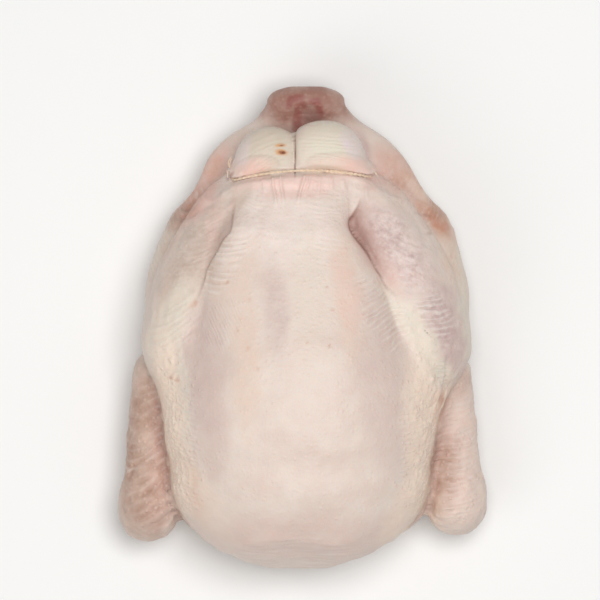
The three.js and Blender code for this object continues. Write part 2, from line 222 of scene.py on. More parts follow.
# Single folds and grooves: half width, height, plan line
FOLDS = (
    # gathers of the belly under the elastic
    (0.75, 1.2, [(-14.2, 79), (-13.9, 70), (-13, 59)]),
    (0.70, 1.1, [(-10.6, 79), (-10.2, 70), (-9.4, 60)]),
    (0.75, 1.2, [(1.8, 79.5), (-0.4, 70), (-2.4, 61)]),
    (0.60, 0.6, [(4.2, 77.5), (2.8, 71), (1, 65)]),
    (0.90, 0.5, [(-19.5, 75.5), (-18.2, 67)]),
    (0.90, 0.5, [(9.4, 77), (8.6, 70), (7.6, 64)]),
    (0.90, 0.6, [(14.4, 76.5), (14.9, 68)]),
    (0.90, 0.6, [(20.4, 76), (21, 68)]),
    (0.80, 0.5, [(31.8, 72), (32, 63)]),
    # loose skin of the left flank
    (1.0, -1.4, [(-66, 57), (-60, 54.6), (-55, 56.2), (-51, 59.5)]),
    (1.0, -1.2, [(-64, 61), (-58, 59.4), (-53.5, 61.5)]),
    (1.0, -0.8, [(-66, 52), (-61, 50.4), (-57.5, 51.5)]),
    (1.2, 0.6, [(-57, 67), (-50, 65), (-45, 67)]),
    # loose skin of the right flank
    (1.3, -0.6, [(53, 59), (58, 57.5), (63, 57.8), (68, 54)]),
    (1.1, 0.7, [(56, 64), (62, 62), (66.5, 60)]),
    (0.9, -0.6, [(61, 52), (66, 51), (70, 47)]),
    # skin drawn from the right thigh down to the wing
    (0.8, 1.3, [(73.5, -28), (70.5, -36), (67.5, -46), (65.3, -54)]),
    (0.8, 1.2, [(69, -26), (67, -36), (65, -44), (63.6, -51)]),
    (0.9, -0.8, [(72.6, -12), (72.2, -25), (70, -34)]),
    (3.5, 0.8, [(43, 18), (49, 6), (56, -8), (63, -24), (67, -36)]),
    (1.0, -0.8, [(38, 26), (42, 21), (47, 17.5), (51, 15.5)]),
    (0.8, 0.6, [(39, 24), (43, 19), (48, 14.5)]),
    # folds at the root of the tail
    (2.0, -0.9, [(-19, 104), (-12, 106), (-6, 103)]),
    (2.0, -0.9, [(22, 103), (15, 106), (9, 103)]),
    (0.6, -0.4, [(-1, 108.5), (4, 107.5), (9, 108.5)]),
    (0.6, -0.4, [(-0.5, 105.5), (4, 104.5), (9.5, 105.5)]),
    (0.6, -0.4, [(0, 102.5), (4.5, 101.8), (9, 102.5)]),
    # neck skin
    (2.2, -0.8, [(-26, -116), (-10, -112), (8, -114), (24, -112)]),
    (2.4, 0.7, [(-30, -109), (-12, -105), (10, -107), (30, -106)]),
)

# Fine wrinkles: the way they run in plan (degrees, or arcs about a point), the gap between them, their
# length and depth, and patches where they lie: x, y, reach along, reach across, turn, strength
WRINKLES = {
    "left_edge": (17, 2.7, 9, 0.32, [(-37, 35, 27, 8, 64, 1.0)]),
    "left_breast": (-52, 2.1, 6, 0.16, [(-40, 3, 17, 10, 78, 1.0)]),
    "left_thigh": (48, 2.2, 11, 0.22, [(-66, -3, 21, 11, 68, 1.0)]),
    "left_drumstick": (24, 2.0, 3.2, 0.14, [(-55, 41, 30, 12, 62, 1.0)]),
    "left_flank": (-14, 3.2, 6, 0.26, [(-57, 61, 20, 8, 46, 0.9), (-74, 38, 26, 6, 62, 0.8)]),
    "right_edge": (12, 2.7, 7, 0.34, [(40, 8, 26, 9, -62, 1.0)]),
    "right_breast": (-12, 2.6, 10, 0.12, [(15, 38, 13, 11, 0, 0.9)]),
    "right_drumstick": (-24, 2.6, 3.4, 0.2, [(48, 44, 22, 12, -55, 1.0), (56, 24, 13, 9, -40, 1.0)]),
    "right_shin": (-7, 2.9, 9, 0.52, [(66, 9, 20, 9, -70, 1.0)]),
    "right_fat": (-33, 2.2, 9, 0.22, [(64, -20, 17, 10, -72, 1.0)]),
    "right_flank": (30, 3.2, 5, 0.2, [(55, 68, 26, 9, -48, 0.9), (79, 26, 26, 6, -75, 0.7)]),
    "left_hock": ((-9, 66), 2.2, 8, 0.15, [(-17, 89, 15, 11, 0, 1.0)]),
    "right_hock": ((9, 50), 1.7, 8, 0.14, [(15, 92, 18, 12, 0, 1.0)]),
    "belly": (-6, 2.0, 4, 0.16, [(15, 60, 12, 12, 0, 1.0), (-24, 58, 9, 13, 0, 0.8)]),
    "tail": (4, 2.4, 6, 0.07, [(3, 108, 18, 9, 0, 1.0)]),
    "neck": (0, 4.2, 10, 0.22, [(0, -116, 44, 12, 0, 0.9)]),
    "left_side": (12, 2.6, 5, 0.2, [(-61, -50, 50, 10, 95, 0.9)]),
    "right_side": (-24, 2.4, 5, 0.2, [(59, -58, 50, 12, -92, 0.9)]),
    "left_wing": (40, 3.8, 10, 0.27, [(-77, -60, 52, 18, 88, 1.0)]),
    "right_wing": (6, 2.6, 6, 0.24, [(78, -60, 52, 18, -88, 1.0)]),
    "breast": (0, 2.4, 5, 0.15, []),
}
BREAST_WRINKLES = 0.1  # strength of the faint wrinkles wherever no patch lies

# The uneven skin: height, size and seed of a swell everywhere, and of two where the skin is loose
SWELL = (0.7, 24, 1)
LOOSE_SWELLS = ((0.5, 10, 2), (0.3, 4.6, 3))

# Ridges of loose skin by region: their height, and the size, seed, stretch and turn of their noise
RIDGES = {
    "left_wing": [(0.6, 6.5, 6, (3, 1, 1), 27), (0.3, 3.6, 7, (1.6, 1, 1), 15)],
    "right_wing": [(0.6, 6.5, 6, (3, 1, 1), 14), (0.3, 3.6, 7, (1.6, 1, 1), 2)],
    "legs": [(0.3, 5.0, 8, (1.8, 1, 1), 12)],
    "belly": [(0.35, 2.6, 5, (1, 7, 7), 0)],
    "neck": [(0.9, 10, 15, (0.9, 1, 2.4), 0)],
    "vent": [(0.1, 3.6, 11, (1, 1, 1), 0)],
}

# Skin tones as sRGB, how finely and how strongly each is broken up, and their soft patches: x, y, reach
# along, reach across, turn in degrees, strength. Later tones lie over earlier ones.
SKIN_TONE = (0.885, 0.826, 0.785)
TONES = {
    "pale": ((0.940, 0.880, 0.845), 160, 0.5, [
        (-4, 50, 26, 18, 0, 0.7), (26, 48, 10, 6, -60, 0.4), (-28, 48, 22, 6, 66, 0.5),
    ]),
    "warm": ((0.890, 0.800, 0.738), 130, 0.8, [
        (-28, -14, 40, 7, 92, 0.7), (23, 16, 34, 8, -84, 0.85), (76, 40, 28, 8, -74, 1.0),
        (-58, -76, 24, 8, -70, 0.7), (-66, -46, 36, 6, 94, 0.7), (63, -62, 44, 8, -92, 0.4),
        (40, 62, 10, 6, 0, 0.3), (-34, 24, 22, 8, 62, 0.35), (-78, -62, 50, 14, 88, 0.6),
        (78, -62, 50, 14, -88, 0.5),
    ]),
    "muscle": ((0.838, 0.750, 0.716), 120, 0.35, [
        (-47, -24, 44, 11, 96, 0.8), (39, -32, 40, 12, 98, 0.6), (38, 6, 24, 8, -62, 0.5),
    ]),
    "grey": ((0.790, 0.710, 0.655), 160, 0.4, [
        (-54, 34, 36, 12, 62, 0.95), (-30, 68, 9, 5, 60, 0.6),
    ]),
    "purple": ((0.778, 0.680, 0.660), 120, 0.7, [
        (46, 40, 27, 13, -56, 0.75), (71, 2, 26, 9, -74, 0.85), (-13, 9, 26, 6.5, 94, 0.42),
        (30, 92, 10, 4.5, -70, 0.6), (66, -84, 14, 7, 80, 0.35),
    ]),
    "pink": ((0.880, 0.740, 0.700), 160, 0.6, [
        (-55, 62, 16, 9, 40, 0.85), (-46, 80, 18, 9, 45, 0.6), (48, 78, 18, 10, -45, 0.4),
        (38, 75, 9, 7, 0, 0.6), (-4, 70, 26, 6, 0, 0.5), (-73, -72, 36, 5, 88, 0.5),
        (78, -60, 46, 12, -86, 0.25), (-44, 52, 14, 4, 80, 0.35), (0, -104, 60, 12, 0, 0.3),
        (50, -92, 16, 6, 60, 0.2), (36, 36, 24, 7, -58, 0.5), (52, 27, 10, 5, -30, 0.2),
        (22, 18, 22, 7, -80, 0.3),
    ]),
    "frost": ((0.925, 0.860, 0.835), 340, 1.7, [
        (46, 42, 26, 12, -56, 0.34), (67, 6, 20, 8, -72, 0.25), (-54, 34, 34, 11, 62, 0.1),
        (80, -60, 48, 10, -88, 0.15),
    ]),
    # The belly's pink under the elastic, lightened as painted light over the shaded hollow there
    "blush_and_light": ((0.965, 0.835, 0.795), 200, 0.5, [(-2, 73.5, 32, 3.4, 4, 0.6)]),
    "lobe": ((0.905, 0.768, 0.715), 200, 0.15, [
        (-23, 80.5, 11, 5.6, 10, 1.0), (18.5, 82, 15.5, 5.6, -4, 1.0),
    ]),
    "orange": ((0.800, 0.600, 0.510), 110, 0.7, [
        (67, 56, 14, 6, -55, 0.85), (52, 76, 20, 9, -48, 0.5), (-50, 76, 18, 8, 50, 0.4),
        (-60, 58, 12, 6, 40, 0.5), (-54.5, 12, 3, 2, 60, 0.65), (60, -50, 26, 8, 80, 0.2),
        (68.5, -40, 15, 4, 72, 0.95), (-66, 45, 12, 4, 62, 0.35), (-58, -74, 24, 6, -72, 0.3),
        (-66, -40, 26, 4, 94, 0.25), (60, -52, 26, 5, 88, 0.25),
    ]),
    "fat": ((0.893, 0.850, 0.792), 90, 0.4, [
        (57, -2, 28, 6, -51, 0.95), (66, -20, 14, 7, -60, 0.8), (83, 14, 34, 4, -86, 0.8),
        (-67, 2, 24, 9, 66, 0.85), (-70, 44, 18, 5, 60, 0.5), (-60, 14, 14, 5, 60, 0.4),
        (4, 20, 34, 9, 90, 0.35), (-59, -30, 38, 2.6, 95, 0.6),
    ]),
    "cream": ((0.965, 0.885, 0.812), 110, 0.35, [
        (-65, -50, 52, 8, 96, 0.85), (61, -60, 50, 10, 93, 0.85), (-48, -90, 26, 9, -62, 0.3),
        (52, -92, 24, 9, 62, 0.6), (-82, -66, 40, 3, 86, 0.3), (70.2, -40, 14, 0.8, 72, 0.95),
        (66.8, -39, 11, 0.7, 72, 0.95), (60, 68, 12, 3, -50, 0.4),
    ]),
    # The left pad is the right pad's cream darkened as painted shade
    "shaded_left_pad": ((0.825, 0.775, 0.700), 120, 0.3, [(-17.5, 90, 16, 14, 0, 1.0)]),
    "right_pad": ((0.868, 0.832, 0.762), 120, 0.3, [(15, 92, 19, 14, 0, 1.0)]),
    "film": ((0.880, 0.820, 0.815), 200, 0.5, [(25, 92, 9, 5, -60, 0.8), (-29, 88, 8, 4, 70, 0.6)]),
    # The brown of the wings' and flanks' skin, and painted shade where the right wing meets the trunk, in
    # the gap under the right thigh and in the crease of the right flank
    "brown_and_shade": ((0.655, 0.500, 0.425), 150, 0.25, [
        (-77, -60, 58, 17, 87, 0.95), (76, -30, 12, 7, 50, 0.5), (75, -66, 26, 5, 86, 0.35),
        (67, -86, 12, 4, 84, 0.7), (70, -72, 26, 8, 86, 0.6), (67.5, 60, 7, 3, -50, 0.4),
        (-62, 57, 10, 4, 45, 0.5),
    ]),
    # The tail's darker skin, darkened further as painted shade; the underside gets it too
    "tail": ((0.640, 0.475, 0.422), 90, 0.35, [(3, 112, 28, 14, 0, 1.0)]),
    # Painted shade, laid in skin_masks on the legs beside the breast's edges and on the wings against the
    # trunk
    "painted_shade": ((0.700, 0.545, 0.505), 90, 0.2, []),
    "red": ((0.585, 0.345, 0.312), 200, 0.3, [
        (-6.2, 113.6, 3.6, 2.0, 70, 0.9), (-2.8, 116, 4.4, 2.1, 8, 0.95),
        (0.6, 113, 3.0, 1.8, -60, 0.85), (-2.2, 107, 9, 2.4, 86, 0.7), (6.4, 114.2, 3.6, 1.9, 10, 0.9),
        (9, 110.5, 4.8, 1.9, -74, 0.9), (-2, 101, 7, 3.4, 90, 0.6), (-36, 76, 3, 1.2, 50, 0.6),
        (61, 57, 6, 0.8, -12, 0.2), (64, 47.5, 1.6, 1.0, 0, 0.25),
    ]),
    "plum": ((0.560, 0.410, 0.385), 200, 0.3, [(5, 106, 6, 4.5, -25, 0.6)]),
    "spots": ((0.790, 0.610, 0.500), 300, 0.5, [
        (15, 9, 1.2, 1.0, 0, 0.4), (-37, 23, 1.5, 0.9, 60, 0.4), (-62.5, -26, 1.5, 1.2, 0, 0.6),
        (-65.5, -25, 1.2, 1.0, 0, 0.6), (3, -7.5, 0.7, 0.6, 0, 0.7), (13.5, -9, 0.7, 0.7, 0, 0.7),
        (12, 20.5, 0.8, 0.7, 0, 0.6), (-26, 14, 1.0, 1.2, 0, 0.25), (-32, -1, 1.0, 1.2, 0, 0.25),
        (-27, -10, 1.0, 1.2, 0, 0.3), (-22, -20, 1.0, 1.1, 0, 0.25),
    ]),
    "amber": ((0.83, 0.56, 0.27), 300, 0.2, [
        (-10.7, 91.4, 3.0, 0.9, 5, 0.8), (-10.4, 87.9, 3.2, 1.6, -8, 0.9),
    ]),
    "bruise": ((0.45, 0.17, 0.07), 500, 0.6, [
        (-10.2, 91.3, 1.2, 0.4, 5, 0.7), (-9.9, 87.8, 1.9, 0.9, -8, 1.0),
    ]),
}
ALL_ROUND = ("tail", "brown_and_shade", "cream")  # tones that the underside has too
ONLY_PADS = ("shaded_left_pad", "right_pad", "amber", "bruise")  # tones of the hocks' pads alone
NOT_KEPT_OFF = ("film", "lobe")  # tones that may lie on the pads and beside them
CLEAR_CUT = ("lobe", "shaded_left_pad", "right_pad", "red", "plum", "spots", "amber", "bruise")
CLEAR_STRAY = 0.4  # how far the border of a clear-cut tone strays
SOFT_STRAY = 2.2  # and of any other
WING_SHADE = 0.8  # how dark the painted shade on a wing is where it lies against the trunk

# Colours of the painted shade in the creases of the breast's edges and in the hocks' seam, of the painted
# shade in wrinkles' hollows and the painted highlights on their crests, and of pimples
CREASE_SHADE_TONE = (0.50, 0.34, 0.29)
HOLLOW_SHADE = (0.88, 0.79, 0.76)
CREST_HIGHLIGHT = (0.95, 0.91, 0.88)
PIMPLE_TONE = (0.93, 0.80, 0.74)

# ---- how the skin is meshed ----

DRAFT_GRAIN = 2.4 * MM  # of the first remesh
SEEN_FROM_ABOVE = 0.15  # how far skin that is refined turns up
# Where the skin has its smallest folds, besides the breast edges: half its width, from which y and z
CLOSE_BOXES = ((42, 66, 46), (28, 58, 60))

# ---- the stage ----

VIEW_MIDDLE = (-1.0, 14.0)  # under the camera, in the bird's plan
VIEW_PLANE = 0.080  # height at which the view is as wide as its setting says, in metres
LAMP_AIM = (0, 0, 0.05)
LAMPS = (  # name, place, size, share of the power
    ("overhead", (0.16, 0.12, 1.45), 0.65, 1.0),
    ("fill", (-0.7, -0.7, 1.3), 1.2, 0.4),
)
SKY = ((1.0, 0.985, 0.96, 1), 0.35)  # colour and strength of the light all round


def clamp01(t):
    return np.clip(t, 0.0, 1.0)


def ease(start, end, x):
    """0 on the side of start, 1 on the side of end, smooth between them."""
    t = clamp01((x - start) / (end - start))
    return t * t * (3 - 2 * t)


def span(x, starts, full, fades, ends):
    """1 from full to fades, 0 before starts and after ends."""
    return ease(starts, full, x) * ease(ends, fades, x)


def bell(x, at, width):
    return np.exp(-(((x - at) / width) ** 2))


def fading(past, reach):
    """1 up to a line, falling away past it."""
    return np.exp(-np.maximum(past, 0) / reach)


def turned(x, y, degrees):
    """Coordinates along and across a direction."""
    c, s = math.cos(math.radians(degrees)), math.sin(math.radians(degrees))
    return c * x + s * y, c * y - s * x


def nearest(p, a, b):
    """The way to the points from the nearest place on a straight line, and where on it that is, 0 to 1."""
    q = [c - start for c, start in zip(p, a)]
    v = [end - start for start, end, _ in zip(a, b, p)]
    t = clamp01(sum(c * w for c, w in zip(q, v)) / sum(w * w for w in v))
    return [c - t * w for c, w in zip(q, v)], t


def length_of(way):
    return np.sqrt(sum(c * c for c in way))


def join(a, b, k):
    """Two forms with a fillet about k wide between them."""
    h = np.maximum(k - np.abs(a - b), 0) / k
    return np.minimum(a, b) - h * h * k / 4


def trim(a, b, k):
    """What both forms share, with the edge rounded."""
    return -join(-a, -b, k)


def along(rows, column, y):
    """A smooth value along a table's rows, level past both ends."""
    at = rows[:, 0]
    value = rows[:, column]
    y = np.clip(y, at[0], at[-1])
    i = np.clip(np.searchsorted(at, y) - 1, 0, len(at) - 2)
    slope = np.diff(value) / np.diff(at)
    tangent = np.concatenate([[0], (slope[1:] + slope[:-1]) / 2, [0]])
    step = at[i + 1] - at[i]
    t = (y - at[i]) / step
    start = (2 * t**3 - 3 * t**2 + 1) * value[i] + (t**3 - 2 * t**2 + t) * tangent[i] * step
    return start + (3 * t**2 - 2 * t**3) * value[i + 1] + (t**3 - t**2) * tangent[i + 1] * step


def loft(form, power, p):
    """A body whose cross-section is a rounded box that changes along y."""
    x, y, z = p
    rows = form["rows"]
    left, right, under, level, top = (along(rows, column, y) for column in range(1, 6))
    dx = x - form["middle"]
    dz = z - level
    u = np.where(dx > 0, dx / (right - form["middle"]), -dx / (left + form["middle"]))
    w = np.where(dz > 0, dz / (top - level), -dz / (level - under))
    before = np.maximum(rows[0, 0] - y, 0)
    after = np.maximum(y - rows[-1, 0], 0)
    v = before / form["caps"][0] + after / form["caps"][1]
    e = (u**power + w**power + 1e-9) ** (1 / power)
    m = form["end_power"]
    f = (e**m + v**m) ** (1 / m)
    return (np.sqrt(dx**2 + dz**2 + (before + after) ** 2) + 1e-6) * (1 - 1 / f)


def lump(at, reach, plan, rise, p, about_z=0.0, about_y=0.0):
    """An ellipsoid, squarer in plan and in rise as the powers grow, turned about z and then y."""
    x, y, z = (c - middle for c, middle in zip(p, at))
    x, y = turned(x, y, about_z)
    x, z = turned(x, z, -about_y)
    u, v, w = (np.abs(q) / r + 1e-6 for q, r in zip((x, y, z), reach))
    f = ((u**plan + v**plan) ** (rise / plan) + w**rise) ** (1 / rise)
    return length_of((x, y, z)) * (1 - 1 / f)


def chain(points, each):
    """The points of a limb or line with `each` steps between two given ones, on a smooth curve."""
    nodes = np.array(points, float)
    last = len(nodes) - 1
    out = []
    for i in range(last):
        p0, p1, p2, p3 = (nodes[min(max(j, 0), last)] for j in range(i - 1, i + 3))
        for t in np.arange(each) / each:
            bend = 2 * p0 - 5 * p1 + 4 * p2 - p3
            twist = 3 * p1 - p0 - 3 * p2 + p3
            out.append(0.5 * (2 * p1 + (p2 - p0) * t + bend * t * t + twist * t**3))
    out.append(nodes[last])
    return np.array(out)


def limb(points, each, p):
    """Round cones end to end along a chain."""
    links = chain(points, each)
    d = None
    for a, b in zip(links[:-1], links[1:]):
        way, t = nearest(p, a, b)
        cone = length_of(way) - (a[3] + (b[3] - a[3]) * t)
        d = cone if d is None else join(d, cone, FILLET["cones"])
    return d


def wing(s, p):
    """A folded wing: forearm with its wrist, upper arm, and the hand tucked under them."""
    side = s["side"]
    wrist = lump(s["wrist"], WRIST_REACH, 2.3, 2, p, 8 * side, -6 * side)
    folded = join(limb(s["forearm"], 1, p), wrist, FILLET["wrist"])
    folded = join(folded, limb(s["upper_arm"], 1, p), FILLET["elbow"])
    hand = [(s["wrist"][0] - side, s["wrist"][1] + 4, 15, 12), (side * 69.5, -42, 16, 8)]
    return join(folded, limb(hand, 1, p), FILLET["hand"])


def leg(s, p):
    """Drumstick and thigh, with a web of skin that widens to the knee."""
    web = FILLET["thigh"] + 13 * ease(25, -15, p[1])
    return join(limb(s["drumstick"], 4, p), limb(s["thigh"], 4, p), web)


def tie_plane(x, z):
    """How far along y the elastic lies."""
    width = TIE["right"][0] - TIE["left"][0] + 2 * TIE["round"]
    u = 2 * (x - (TIE["left"][0] + TIE["right"][0]) / 2) / width
    over = TIE["over"] + TIE["tilt"] * u + TIE["bow"] * (1 - np.minimum(u * u, 1.5))
    return TIE["under"] + (over - TIE["under"]) * ease(48, 72, z)


def outside_tie(p):
    """Height over the channel that the elastic presses into the skin."""
    x, y, z = p
    way, _ = nearest((x, z), TIE["left"], TIE["right"])
    over = length_of(way) - TIE["round"]
    off = np.abs(y - tie_plane(x, z))
    return over + 0.35 - 0.8 * off**1.4 - 300 * ease(54, 48, z)


def hocks(p):
    """The two round pads, pressed flat against each other."""
    for s in SIDES:
        pad = lump(*s["hock"], 2, 2.6, p)
        yield trim(pad, s["side"] * (HOCK_SEAM - p[0]) + 0.1, FILLET["hock_rim"])


def bird(p):
    """Signed distance to the skin's smooth form, negative inside."""
    x, y, z = p
    squareness = TRUNK_SHAPE + 1.1 * ease(-10, 40, y) + 0.8 * bell(y, 49, 8) - 0.5 * ease(50, 62, y)
    d = loft(TRUNK, squareness, p)
    d = d + 3.5 * bell(x, -1, 13) * bell(y, -118, 26) * ease(40, 60, z)  # hollow over the wishbone
    legs = join(*(leg(s, p) for s in SIDES), FILLET["legs"])
    legs = join(legs, loft(BACK, BACK_SHAPE, p), FILLET["back"])
    d = join(d, legs, FILLET["breast"] + 14 * ease(5, -35, y))
    d = join(d, lump(*NECK_SKIN, 2.4, 2, p), FILLET["neck"])
    d = join(d, np.minimum(*hocks(p)), FILLET["hocks"])
    d = trim(d, outside_tie(p), FILLET["tie"])
    d = trim(d, -lump(*VENT, 2, 2, p), FILLET["vent"])
    for s in SIDES:
        d = join(d, wing(s, p), FILLET["wings"])
    return trim(d, -z, FILLET["floor"])


def slope(points, step=0.3):
    """The form's value at the points, and the way out of it."""
    here = bird(points.T)
    out = [bird((points + step * axis).T) - here for axis in np.eye(3)]
    return here, np.stack(out, axis=1) / step


def lay_on(points, rounds, longest):
    """Moves the points onto the form."""
    for _ in range(rounds):
        here, out = slope(points)
        size = np.maximum((out**2).sum(1), 0.05)
        points = points - out * np.clip(here / size, -longest, longest)[:, None]
    return points


def rough(points, size, seed, stretch=(1, 1, 1), turn=0.0):
    """Smooth noise in -1..1 with features `size` apart, drawn out by stretch after a turn in plan."""
    x, y, z = points.T
    q = np.stack([*turned(x, y, turn), z], axis=1) / (size * np.array(stretch)) + 17.31 * seed
    return np.array([noise.noise(v) for v in q])


def crests(value):
    """Sharp crests where the noise passes zero."""
    return 1 - 2.2 * np.abs(value)


def beside(x, y, line):
    """Plan distance to a line, positive on its right as it is drawn, and the length along it."""
    best = np.full(x.shape, 1e9)
    side = np.ones(x.shape)
    length = np.zeros(x.shape)
    run = 0.0
    for a, b in zip(line[:-1], line[1:]):
        way, t = nearest((x, y), a, b)
        d = length_of(way)
        near = d < best
        best = np.where(near, d, best)
        side = np.where(near, np.sign((x - a[0]) * (b[1] - a[1]) - (y - a[1]) * (b[0] - a[0])), side)
        long = math.dist(a, b)
        length = np.where(near, run + t * long, length)
        run += long
    return best * side, length


def patch(x, y, at_x, at_y, reach, across, turn):
    """1 in the middle of a soft ellipse, 0 outside it."""
    u, v = turned(x - at_x, y - at_y, turn)
    return ease(1.35, 0.45, np.hypot(u / reach, v / across))


def limb_parts(points):
    """Which skin is wing, hock and leg, from 0 to 1."""
    wings, legs = (np.minimum(*(part(s, points.T) for s in SIDES)) for part in (wing, leg))
    wings = ease(3, -1, wings)
    pads = ease(2, -0.5, np.minimum(*hocks(points.T)))
    return wings, pads, ease(2, -0.5, legs) * (1 - pads) * (1 - wings)


def near_tie(points):
    """1 at the elastic, 0 a few millimetres off it."""
    x, y, z = points.T
    return ease(3.8, 1.2, np.abs(y - tie_plane(x, z))) * ease(50, 58, z)


def past_edge(x, y, edge):
    """Distance beyond a breast edge onto the leg, and how far along it, with its strength there."""
    off, length = beside(x, y, chain(edge["line"], 3))
    return -off * edge["leg"], length, span(length, *edge["runs"])


def drawn(x, y, half_width, line):
    """A line on the skin, 1 along its middle and fading out at both ends."""
    points = chain(line, 3)
    low = points.min(axis=0) - 3 * half_width
    high = points.max(axis=0) + 3 * half_width
    close = np.flatnonzero((x > low[0]) & (x < high[0]) & (y > low[1]) & (y < high[1]))
    out = np.zeros(x.shape)
    off, length = beside(x[close], y[close], points)
    whole = np.hypot(*np.diff(points, axis=0).T).sum()
    soft = min(whole / 3, 5)
    out[close] = bell(off, 0, half_width) * span(length, 0, soft, whole - soft, whole)
    return out


def relief(points, out):
    """Height of the wrinkled skin over its smooth form."""
    x, y, z = points.T
    up = ease(-0.1, 0.5, out[:, 2])
    wings, pads, legs = limb_parts(points)
    free = 1 - near_tie(points)
    calm = (1 - 0.75 * pads) * free
    loose = 0.35 + 0.65 * np.maximum(wings, legs)
    h = SWELL[0] * rough(points, *SWELL[1:])
    for height, size, seed in LOOSE_SWELLS:
        h += loose * height * rough(points, size, seed)
    h *= calm
    px = x + 0.9 * rough(points, 9, 12)
    py = y + 0.9 * rough(points, 9, 13)

    # Breast skin lies over each leg with a rolled edge
    for edge in EDGES:
        off, _, here = past_edge(px, py, edge)
        over = edge["rim"] * ease(0.9, -0.4, off) * fading(-off, 4)
        under = edge["drop"] * ease(-0.3, 1.5, off) * fading(off, edge["reach"])
        h += (over - under) * here * up * calm

    # The drumsticks stand out from the skin beyond them
    for line, side in CREASES:
        off, length = beside(px, py, chain(line, 3))
        across = sum(height * bell(-off * side, at, width) for height, at, width in CREASE_PROFILE)
        h += across * span(length, 0, 12, 62, 84) * (0.3 + 0.7 * ease(46, 28, length)) * up

    for half_width, height, line in FOLDS:
        h += height * drawn(px, py, half_width, line) * up * free

    # Pink flesh pushed out in front of each pad
    for *place, _ in TONES["lobe"][3]:
        lobe = patch(x, y, *place)
        h += up * free * (0.6 * lobe - 0.3 * bell(lobe, 0.2, 0.14) * (lobe > 0))

    # Ridges aslant on the wings, across the legs, where the elastic gathers the belly, where the neck
    # skin hangs, and round the vent
    below = tie_plane(x, z) - y
    gathered = ease(0, 3, below) * fading(below, 9)
    regions = {
        "left_wing": wings * (x < 0),
        "right_wing": wings * (x > 0),
        "legs": legs,
        "belly": up * gathered * ease(34, 26, np.abs(x + 2)) * ease(72, 80, z),
        "neck": ease(-96, -112, y) * ease(78, 40, z),
        "vent": patch(x, y, 3, 106, 16, 8, 0),
    }
    for region, layers in RIDGES.items():
        for height, *drawing in layers:
            h += height * regions[region] * crests(rough(points, *drawing))

    # Pimples down the flanks
    flank = bell(np.abs(x), 63, 9) * ease(5, -25, y) * ease(22, 42, z)
    h += 1.3 * flank * np.maximum(rough(points, 2.8, 14), 0)
    return h * ease(0.2, 5, z)


def wrinkle_lay(points, wings):
    """Coordinates along and across the fine wrinkles at every point, and their depth."""
    x, y, z = points.T
    best = np.full(x.shape, 0.02)
    second = np.zeros(x.shape)
    depth = np.zeros(x.shape)
    lay = np.zeros((len(x), 3))
    px = x + 3 * rough(points, 12, 31)
    py = y + 3 * rough(points, 12, 32)
    for name, (run, gap, length, deep, patches) in WRINKLES.items():
        strength = np.zeros(x.shape)
        for *place, strong in patches:
            strength = np.maximum(strength, strong * patch(px, py, *place))
        strength *= wings if name.endswith("wing") else 1 - wings
        if name == "breast":
            strength += BREAST_WRINKLES
        if isinstance(run, tuple):
            away = np.hypot(x - run[0], y - run[1])
            line = away * np.arctan2(y - run[1], x - run[0])
        else:
            line, away = turned(x, y, run)
        higher = strength > best
        second = np.where(higher, best, np.maximum(second, strength))
        best = np.where(higher, strength, best)
        depth = np.where(higher, deep, depth)
        here = np.stack([line / length, (away + 0.5 * z) / gap, z / length], axis=1)
        lay = np.where(higher[:, None], here, lay)
    return lay, depth * ease(0, 0.8, best - second)


def skin_masks(points, out):
    """Named soft regions of the skin, as values from 0 to 1 at every point."""
    x, y, z = points.T
    up = ease(-0.35, 0.2, out[:, 2])
    wings, pads, legs = limb_parts(points)
    wander = np.stack([rough(points, 9, 21), rough(points, 9, 22)], axis=1)
    masks = {}
    for tone, (_, _, _, patches) in TONES.items():
        stray = CLEAR_STRAY if tone in CLEAR_CUT else SOFT_STRAY
        px, py = x + stray * wander[:, 0], y + stray * wander[:, 1]
        clear = np.ones(x.shape)
        for *place, strength in patches:
            clear *= 1 - strength * patch(px, py, *place)
        masks[tone] = (1 - clear) * (1 if tone in ALL_ROUND else up)
        if tone in ONLY_PADS:
            masks[tone] *= pads
        elif tone not in NOT_KEPT_OFF:
            masks[tone] *= 1 - pads
    masks["brown_and_shade"] *= np.maximum(wings, ease(20, 40, y))

    # Painted shade: a dark line is painted along each of the breast's edges, and a shade on the leg beside
    # it
    crease_shade = np.zeros(x.shape)
    for edge in EDGES:
        off, length, here = past_edge(x, y, edge)
        crease_shade = np.maximum(crease_shade, edge["crease_shade"] * here * ease(-0.4, 0.5, off) * fading(off, 0.7))
        shade = edge["shade"] * span(length, *edge["shaded"]) * ease(-1.0, 0.3, off)
        shade *= np.exp(-((np.maximum(off, 0) / edge["shade_reach"]) ** 1.3))
        masks["painted_shade"] = np.maximum(masks["painted_shade"], shade * up * (1 - pads))
    # Painted shade on each wing where it lies against the trunk
    off_trunk = loft(TRUNK, TRUNK_SHAPE, points.T)
    masks["painted_shade"] = np.maximum(masks["painted_shade"], WING_SHADE * wings * ease(9, 1, off_trunk))
    # Painted shade along the seam where the hocks press together
    hock_seam_shade = 0.85 * bell(x + 0.25 * wander[:, 0], HOCK_SEAM, 0.36)
    hock_seam_shade *= span(y, 74, 78, 96, 99) * ease(56, 62, z)
    masks["crease_shade"] = up * np.maximum(crease_shade, hock_seam_shade)
    flanks = ease(0, -40, y) * ease(42, 58, np.abs(x))
    masks["pores"] = clamp01(0.35 + 0.65 * wings - 0.35 * pads + 0.6 * flanks)
    return masks


# ---- meshes ----

def mesh_of(bm, name):
    mesh = bpy.data.meshes.new(name)
    bm.to_mesh(mesh)
    bm.free()
    return mesh


def placed(name, data):
    """A new object in the scene."""
    thing = bpy.data.objects.new(name, data)
    bpy.context.scene.collection.objects.link(thing)
    return thing


